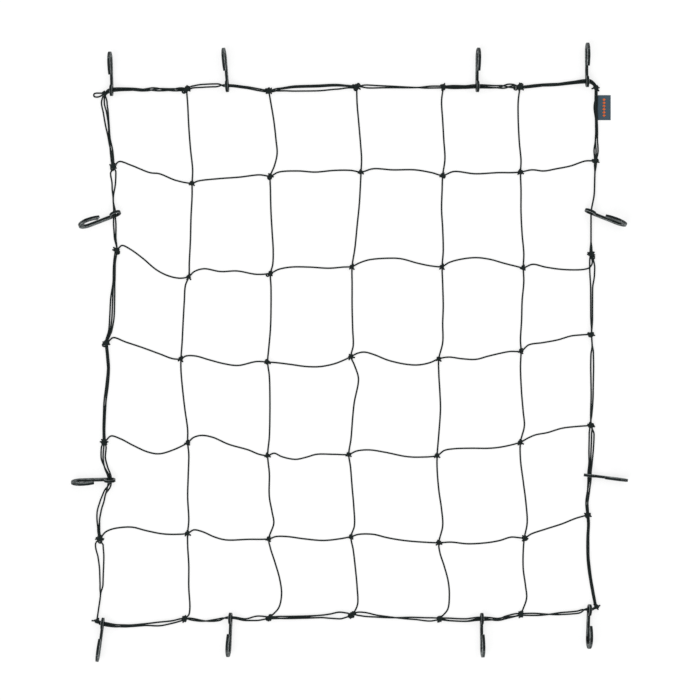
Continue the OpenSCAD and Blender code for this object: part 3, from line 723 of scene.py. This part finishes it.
def mesh_knot(column, row):
    """The cords of a knot where two mesh cords cross."""
    place = KNOTS[row][column]
    turn = variety(column, row, -40, 40)
    lines = [placed(overhand(7.0, 8.8), place, turn, variety(row, column, 0.94, 1.08))]
    for angle in (variety(column, row, 195, 240), variety(row, column, 300, 345)):
        lines.append(placed(tail(angle, variety(column, row, 6.2, 7.6), 4.5), place))
    lines.append(placed(tail(variety(row, column, 60, 130), 5.6, 6.0), place))
    if (column, row) in SLACK:
        lines.append(placed(eyelet(*SLACK[(column, row)], 4.0), place))
    return lines


# Slack loops and cut ends that show beside the border knots: column and row to the loops' x, y and
# radius, and the ends' angle and reach, in millimetres and degrees
BORDER_LOOPS = {
    (1, 0): [(-4.5, -4.0, 3.0), (3.0, 2.5, 2.4)], (2, 0): [(-4.0, 1.0, 2.6)],
    (3, 0): [(-5.5, 1.0, 2.8), (-1.5, -3.5, 2.8), (3.0, 3.0, 3.0)], (4, 0): [(1.0, 1.5, 2.4)],
    (5, 0): [(-7.5, -1.5, 3.6), (2.0, 3.0, 3.2)], (1, 6): [(1.5, 1.0, 2.4)],
    (2, 6): [(-4.0, -1.5, 3.0), (1.0, 3.0, 2.4)], (3, 6): [(-3.5, -1.5, 3.2), (3.5, 3.0, 2.6)],
    (4, 6): [(-2.0, 1.0, 2.8)], (5, 6): [(0.5, 3.0, 2.6)],
    (0, 1): [(-1.0, -4.0, 3.0), (1.0, 3.0, 2.6)], (0, 2): [(2.5, -4.5, 3.0)],
    (0, 3): [(-4.0, -3.0, 3.0), (0.0, 3.0, 2.6)], (0, 4): [(-1.5, -2.5, 2.6)],
    (0, 5): [(0.0, 3.5, 3.2), (0.5, -4.5, 3.0)], (6, 1): [(-0.5, -1.0, 2.6)],
    (6, 2): [(1.0, 0.0, 2.6), (3.0, -6.5, 3.2)], (6, 3): [(-1.5, -1.5, 2.8)],
    (6, 4): [(0.5, 1.0, 2.6)], (6, 5): [(-1.0, -2.0, 2.8)],
}
BORDER_ENDS = {
    (1, 0): [(80, 7.5), (335, 8.0)], (2, 0): [(85, 6.5), (315, 7.5)],
    (3, 0): [(65, 8.0), (330, 8.5)], (4, 0): [(140, 6.5), (290, 6.0)],
    (5, 0): [(95, 8.0), (320, 9.0)], (1, 6): [(60, 6.0), (290, 6.0)],
    (2, 6): [(65, 7.0), (250, 7.0)], (3, 6): [(80, 7.0)],
    (4, 6): [(65, 6.5), (250, 7.0)], (5, 6): [(130, 7.0), (300, 6.0)],
    (0, 1): [(150, 7.5), (30, 7.5)], (0, 2): [(180, 7.5), (290, 8.0)],
    (0, 3): [(150, 6.0), (200, 7.0)], (0, 4): [(175, 8.0), (5, 7.5)],
    (0, 5): [(185, 8.5), (0, 8.0)], (6, 1): [(200, 6.0), (15, 6.0)],
    (6, 2): [(190, 7.5), (25, 7.0)], (6, 3): [(150, 6.5), (230, 6.0)],
    (6, 4): [(120, 6.5), (0, 6.0)], (6, 5): [(30, 6.0)],
}


def border_knot(column, row, along):
    """The cords of a knot that ties a mesh cord to a border that runs along the given angle."""
    place = KNOTS[row][column]
    lean = variety(column, row, -14, 14)
    wound = hitch(2.5, 4.4, 9.8, 2.3, 5.6)
    lines = [
        placed(wound, place, along + lean),
        placed(overhand(7.6, 9.8), place, along + 30 + 2 * lean),
    ]
    for x, y, radius in BORDER_LOOPS.get((column, row), []):
        lines.append(placed(eyelet(x, y, radius, 5.0), place))
    for angle, reach in BORDER_ENDS[(column, row)]:
        lines.append(placed(tail(angle, reach, 6.0), place))
    return lines


def corner_knot(column, row, along, tails):
    """The cords of a corner's knot, with cut ends at the given angles and reaches."""
    place = KNOTS[row][column]
    lines = [
        placed(hitch(2.0, 3.4, 11.8, 2.4, 5.0), place, along),
        placed(overhand(7.0, 11.6), place, along + 25),
    ]
    return lines + [placed(tail(angle, reach, 5.0), place) for angle, reach in tails]


def knot_object(name, knots, material):
    """One piece with the cords of several knots, which stands for their CAD barrels."""
    lines = [on_curve(line, 0.0008) + SHIFT for lines in knots for line in lines]
    for line in lines:
        line[:, 2] = np.maximum(line[:, 2], CORD_R)
    obj = cord_object(name, lines, material, CORD_R, 10)
    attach(obj, "net")
    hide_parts(name.replace("_tied", ""))
    return obj


def make_knots(material):
    """All the net's knots: five rows of mesh knots, the four sides' and the corners'."""
    for row in range(1, 6):
        knot_object(f"knots_row_{row}_tied", [mesh_knot(c, row) for c in range(1, 6)], material)
    knot_object("knots_top_tied", [border_knot(c, 0, 180) for c in range(1, 6)], material)
    knot_object("knots_bottom_tied", [border_knot(c, 6, 0) for c in range(1, 6)], material)
    knot_object("knots_left_tied", [border_knot(0, r, 270) for r in range(1, 6)], material)
    knot_object("knots_right_tied", [border_knot(6, r, 90) for r in range(1, 6)], material)
    corners = [
        corner_knot(0, 0, 40, []),
        corner_knot(6, 0, 120, [(195, 8.5), (310, 8.5)]),
        corner_knot(0, 6, 110, [(175, 10.0), (60, 6.5)]),
        corner_knot(6, 6, 60, [(140, 7.5), (20, 7.0)]),
    ]
    knot_object("knots_corner_tied", corners, material)


# --- hooks ---
def make_hook(node, faces, edges):
    """The hook's CAD shape with its edges rounded as a mould leaves them, and a painted highlight in a
    lighter colour on these rounded edges.
    """
    built = bmesh.new()
    built.from_mesh(frame["nodes"][node].data)
    bmesh.ops.remove_doubles(built, verts=built.verts, dist=0.00001)
    bmesh.ops.dissolve_limit(built, angle_limit=math.radians(1), verts=built.verts, edges=built.edges)
    mesh = bpy.data.meshes.new(f"{node}_moulding")
    built.to_mesh(mesh)
    built.free()
    mesh.shade_smooth()
    mesh.set_sharp_from_angle(angle=math.radians(32))
    mesh.materials.clear()
    mesh.materials.append(faces)
    mesh.materials.append(edges)
    obj = bpy.data.objects.new(f"{node}_moulding", mesh)
    bpy.context.scene.collection.objects.link(obj)
    bevel = obj.modifiers.new("mould_edges", "BEVEL")
    bevel.width = 0.0003
    # The bevel's faces take material slot 1, the lighter nylon: a painted highlight along the edges.
    bevel.material = 1
    bevel.use_clamp_overlap = False
    bevel.segments = 2
    bevel.limit_method = "ANGLE"
    bevel.angle_limit = math.radians(40)
    bevel.harden_normals = True
    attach(obj, node)
    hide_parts(node)
    return obj


# --- label ---
def make_label(tape):
    """A woven tape, folded at its free edge and sewn flat, with its hem under the border's cords."""
    x0 = LABEL_MIDDLE[0] - LABEL_HEM + SHIFT[0]
    x1 = LABEL_MIDDLE[0] + LABEL_W + SHIFT[0]
    y0 = LABEL_MIDDLE[1] - LABEL_L / 2 + SHIFT[1]
    ply = LABEL_T / 2
    profile = [(x0, 0.25 * ply)]
    profile += [(x0 + (x1 - ply - x0) * i / 12, 0.25 * ply) for i in range(1, 13)]
    for degrees in range(-60, 61, 30):
        a = math.radians(degrees)
        profile.append((x1 - ply + 0.75 * ply * math.cos(a), ply + 0.75 * ply * math.sin(a)))
    profile += [(x0 + (x1 - ply - x0) * i / 12, 1.75 * ply) for i in range(12, -1, -1)]
    rows = 25
    verts, faces = [], []
    for r in range(rows):
        y = y0 + LABEL_L * r / (rows - 1)
        for x, z in profile:
            verts.append((x, y, z))
    for r in range(rows - 1):
        for i in range(len(profile) - 1):
            a = r * len(profile) + i
            faces.append((a, a + 1, a + len(profile) + 1, a + len(profile)))
    mesh = bpy.data.meshes.new("label_tape")
    mesh.from_pydata(verts, [], faces)
    mesh.shade_smooth()
    mesh.materials.append(tape)
    label = bpy.data.objects.new("label_tape", mesh)
    bpy.context.scene.collection.objects.link(label)
    thick = label.modifiers.new("tape", "SOLIDIFY")
    thick.thickness = 0.4 * ply
    thick.offset = 0
    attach(label, "net")
    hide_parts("label")
    return label


def label_trim(stitching, motif):
    """Stitches along the label's edges, and a plain column of embroidered diamonds."""
    x0 = LABEL_MIDDLE[0] + SHIFT[0]
    y0 = LABEL_MIDDLE[1] + SHIFT[1]
    top = LABEL_T + 0.00005
    sunk = top - 0.0002
    low = y0 - LABEL_L / 2 + STITCH_IN
    high = y0 + LABEL_L / 2 - STITCH_IN
    stitches = []
    for i in range(SIDE_STITCHES):
        x = x0 + LABEL_W - STITCH_IN
        y = low + (high - low) * (i + 0.2) / SIDE_STITCHES
        stitches.append([(x, y, sunk), (x, y + STITCH_RUN / 2, top), (x, y + STITCH_RUN, sunk)])
    for i in range(END_STITCHES):
        x = x0 + 0.005 + 0.0028 * i
        stitches.append([(x, low, sunk), (x + 0.0008, low, top), (x + 0.0016, low, sunk)])
    sewn = cord_object("label_stitches", [np.array(s) for s in stitches], stitching, 0.00022, 6)
    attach(sewn, "net")
    threads = []
    for i in range(MOTIF_COUNT):
        y = y0 + MOTIF_PITCH * (i - (MOTIF_COUNT - 1) / 2)
        for k in range(-4, 5):
            half = MOTIF_HALF * (1 - abs(k) / 5)
            row_y = y + 0.0005 * k
            threads.append([
                (x0 + MOTIF_X - half, row_y, top - 0.0001),
                (x0 + MOTIF_X, row_y, top + 0.0001),
                (x0 + MOTIF_X + half, row_y, top - 0.0001),
            ])
    diamonds = cord_object("label_motif", [np.array(t) for t in threads], motif, 0.00028, 6)
    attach(diamonds, "net")
    return [sewn, diamonds]





# --- materials ---
def new_material(name):
    """A new material with its node tree and its shader."""
    material = bpy.data.materials.new(name)
    material.use_nodes = True
    tree = material.node_tree
    return material, tree, tree.nodes["Principled BSDF"]


def math_node(tree, operation, a, b=None):
    """The result of a sum on numbers or on other nodes' outputs."""
    node = tree.nodes.new("ShaderNodeMath")
    node.operation = operation
    for socket, value in zip(node.inputs, (a, b)):
        if value is None:
            continue
        if isinstance(value, (int, float)):
            socket.default_value = value
        else:
            tree.links.new(value, socket)
    return node.outputs[0]


def ramp_node(tree, factor, stops):
    """The colour that a factor picks between stops of position and colour."""
    node = tree.nodes.new("ShaderNodeValToRGB")
    elements = node.color_ramp.elements
    while len(elements) < len(stops):
        elements.new(0.5)
    for element, (position, color) in zip(elements, stops):
        element.position = position
        element.color = (*color, 1)
    tree.links.new(factor, node.inputs["Fac"])
    return node.outputs["Color"]


def noise_node(tree, vector, scale, detail=3.0):
    """Soft noise of the given scale."""
    node = tree.nodes.new("ShaderNodeTexNoise")
    node.inputs["Scale"].default_value = scale
    node.inputs["Detail"].default_value = detail
    tree.links.new(vector, node.inputs["Vector"])
    return node.outputs["Fac"]


def bump(tree, shader, height, strength, distance):
    """Shades the surface as if raised by the height."""
    node = tree.nodes.new("ShaderNodeBump")
    node.inputs["Strength"].default_value = strength
    node.inputs["Distance"].default_value = distance
    tree.links.new(height, node.inputs["Height"])
    tree.links.new(node.outputs["Normal"], shader.inputs["Normal"])


def cord_material():
    """Braided polyester cover: eight strands each way round the cord, dull with a little sheen."""
    material, tree, shader = new_material("cord_braid")
    uv = tree.nodes.new("ShaderNodeUVMap")
    split = tree.nodes.new("ShaderNodeSeparateXYZ")
    tree.links.new(uv.outputs["UV"], split.inputs["Vector"])
    around = math_node(tree, "MULTIPLY", split.outputs["X"], 8 * 2 * math.pi)
    along = math_node(tree, "MULTIPLY", split.outputs["Y"], 2 * math.pi / 0.0015)
    one_way = math_node(tree, "SINE", math_node(tree, "ADD", around, along))
    other_way = math_node(tree, "SINE", math_node(tree, "SUBTRACT", around, along))
    braid = math_node(tree, "MULTIPLY", one_way, other_way)
    height = math_node(tree, "MULTIPLY", math_node(tree, "ADD", braid, 1.0), 0.5)
    place = tree.nodes.new("ShaderNodeTexCoord")
    patches = noise_node(tree, place.outputs["Object"], 60.0)
    fibres = noise_node(tree, place.outputs["Object"], 2600.0, 2.0)
    braid_share = math_node(tree, "MULTIPLY", height, 0.6)
    mixed = math_node(tree, "ADD", braid_share, math_node(tree, "MULTIPLY", patches, 0.4))
    shade = ramp_node(tree, mixed, [(0.2, (0.002, 0.0035, 0.0035)), (0.8, (0.013, 0.0205, 0.02))])
    tree.links.new(shade, shader.inputs["Base Color"])
    rough = math_node(tree, "ADD", math_node(tree, "MULTIPLY", fibres, 0.25), 0.6)
    tree.links.new(rough, shader.inputs["Roughness"])
    shader.inputs["Specular IOR Level"].default_value = 0.1
    shader.inputs["Sheen Weight"].default_value = 0.03
    shader.inputs["Sheen Roughness"].default_value = 0.5
    relief = math_node(tree, "ADD", height, math_node(tree, "MULTIPLY", fibres, 0.3))
    bump(tree, shader, relief, 0.7, 0.0003)
    return material


def hook_material(name, dark, light, gloss):
    """Moulded nylon: fine grain, satin, streaked a little where the melt flowed; black on the faces, and
    in light colours the painted highlight on the bevelled edges.
    """
    material, tree, shader = new_material(name)
    place = tree.nodes.new("ShaderNodeTexCoord")
    grain = noise_node(tree, place.outputs["Object"], 2400.0, 2.0)
    flow = noise_node(tree, place.outputs["Object"], 90.0, 4.0)
    shade = ramp_node(tree, flow, [(0.35, dark), (0.7, light)])
    tree.links.new(shade, shader.inputs["Base Color"])
    rough = math_node(tree, "ADD", math_node(tree, "MULTIPLY", flow, 0.25), 0.3)
    tree.links.new(rough, shader.inputs["Roughness"])
    shader.inputs["Specular IOR Level"].default_value = gloss
    relief = math_node(tree, "ADD", grain, math_node(tree, "MULTIPLY", flow, 0.6))
    bump(tree, shader, relief, 0.25, 0.0001)
    return material


def weave_height(tree, place, pitch):
    """The relief of a plain weave with threads a pitch apart."""
    split = tree.nodes.new("ShaderNodeSeparateXYZ")
    tree.links.new(place.outputs["Object"], split.inputs["Vector"])
    x = math_node(tree, "SINE", math_node(tree, "MULTIPLY", split.outputs["X"], 2 * math.pi / pitch))
    y = math_node(tree, "SINE", math_node(tree, "MULTIPLY", split.outputs["Y"], 2 * math.pi / pitch))
    return math_node(tree, "MULTIPLY", math_node(tree, "ADD", math_node(tree, "MULTIPLY", x, y), 1.0), 0.5)


def tape_material():
    """Slate blue woven tape."""
    material, tree, shader = new_material("label_weave")
    place = tree.nodes.new("ShaderNodeTexCoord")
    weave = weave_height(tree, place, 0.0009)
    slub = noise_node(tree, place.outputs["Object"], 700.0)
    weave_share = math_node(tree, "MULTIPLY", weave, 0.6)
    mixed = math_node(tree, "ADD", weave_share, math_node(tree, "MULTIPLY", slub, 0.4))
    shade = ramp_node(tree, mixed, [(0.2, (0.026, 0.047, 0.064)), (0.8, (0.05, 0.083, 0.11))])
    tree.links.new(shade, shader.inputs["Base Color"])
    rough = math_node(tree, "ADD", math_node(tree, "MULTIPLY", slub, 0.2), 0.7)
    tree.links.new(rough, shader.inputs["Roughness"])
    shader.inputs["Specular IOR Level"].default_value = 0.2
    shader.inputs["Sheen Weight"].default_value = 0.1
    bump(tree, shader, weave, 0.6, 0.00025)
    return material


def thread_material(name, dark, light):
    """Twisted sewing thread, its twist drawn from the cord meshes' UVs."""
    material, tree, shader = new_material(name)
    uv = tree.nodes.new("ShaderNodeUVMap")
    split = tree.nodes.new("ShaderNodeSeparateXYZ")
    tree.links.new(uv.outputs["UV"], split.inputs["Vector"])
    twist = math_node(tree, "ADD", math_node(tree, "MULTIPLY", split.outputs["X"], 4 * math.pi),
                      math_node(tree, "MULTIPLY", split.outputs["Y"], 2 * math.pi / 0.0007))
    height = math_node(tree, "MULTIPLY", math_node(tree, "ADD", math_node(tree, "SINE", twist), 1.0), 0.5)
    shade = ramp_node(tree, height, [(0.1, dark), (0.9, light)])
    tree.links.new(shade, shader.inputs["Base Color"])
    rough = math_node(tree, "ADD", math_node(tree, "MULTIPLY", height, -0.15), 0.65)
    tree.links.new(rough, shader.inputs["Roughness"])
    shader.inputs["Sheen Weight"].default_value = 0.1
    bump(tree, shader, height, 0.6, 0.0001)
    return material


def floor_material():
    """A smooth pale light table, which keeps shadows faint."""
    material, tree, shader = new_material("studio_floor")
    place = tree.nodes.new("ShaderNodeTexCoord")
    cloud = noise_node(tree, place.outputs["Object"], 1.5)
    shade = ramp_node(tree, cloud, [(0.3, (0.24, 0.24, 0.24)), (0.7, (0.26, 0.26, 0.26))])
    tree.links.new(shade, shader.inputs["Base Color"])
    shader.inputs["Emission Color"].default_value = (1, 1, 1, 1)
    shader.inputs["Emission Strength"].default_value = 0.7
    rough = math_node(tree, "ADD", math_node(tree, "MULTIPLY", cloud, 0.1), 0.8)
    tree.links.new(rough, shader.inputs["Roughness"])
    shader.inputs["Specular IOR Level"].default_value = 0.1
    return material


# --- studio ---
def make_studio():
    """A floor far larger than the view, an even white surround and two broad soft lights."""
    mesh = bpy.data.meshes.new("floor")
    mesh.from_pydata([(-60, -60, -0.0002), (60, -60, -0.0002), (60, 60, -0.0002), (-60, 60, -0.0002)],
                     [], [(0, 1, 2, 3)])
    mesh.materials.append(floor_material())
    floor = bpy.data.objects.new("floor", mesh)
    bpy.context.scene.collection.objects.link(floor)
    world = bpy.data.worlds.new("studio")
    world.use_nodes = True
    world.node_tree.nodes["Background"].inputs["Color"].default_value = (1, 1, 1, 1)
    world.node_tree.nodes["Background"].inputs["Strength"].default_value = 1.0
    bpy.context.scene.world = world
    for name, energy, angle, tilt in (("key", 0.9, 40, (25, -20, 0)), ("fill", 0.5, 60, (-30, 25, 0))):
        light = bpy.data.lights.new(name, "SUN")
        light.energy = energy
        light.angle = math.radians(angle)
        lamp = bpy.data.objects.new(name, light)
        lamp.rotation_euler = [math.radians(a) for a in tilt]
        bpy.context.scene.collection.objects.link(lamp)
    bpy.context.scene.view_settings.view_transform = "Standard"


make_camera()
braid = cord_material()
make_cords(braid)
make_knots(braid)
faces = hook_material("hook_nylon", (0.003, 0.005, 0.005), (0.008, 0.0125, 0.0125), 0.1)
# Lighter nylon for the bevelled edges: a painted highlight, glints along the moulding's edges.
edges = hook_material("hook_nylon_painted_glint", (0.06, 0.07, 0.07), (0.42, 0.46, 0.46), 0.5)
for hook in EYES:
    make_hook(hook, faces, edges)
label = make_label(tape_material())
trim = label_trim(
    thread_material("label_thread", (0.01, 0.015, 0.02), (0.03, 0.045, 0.06)),
    thread_material("label_embroidery", (0.45, 0.07, 0.0), (0.7, 0.13, 0.0)),
)
make_studio()
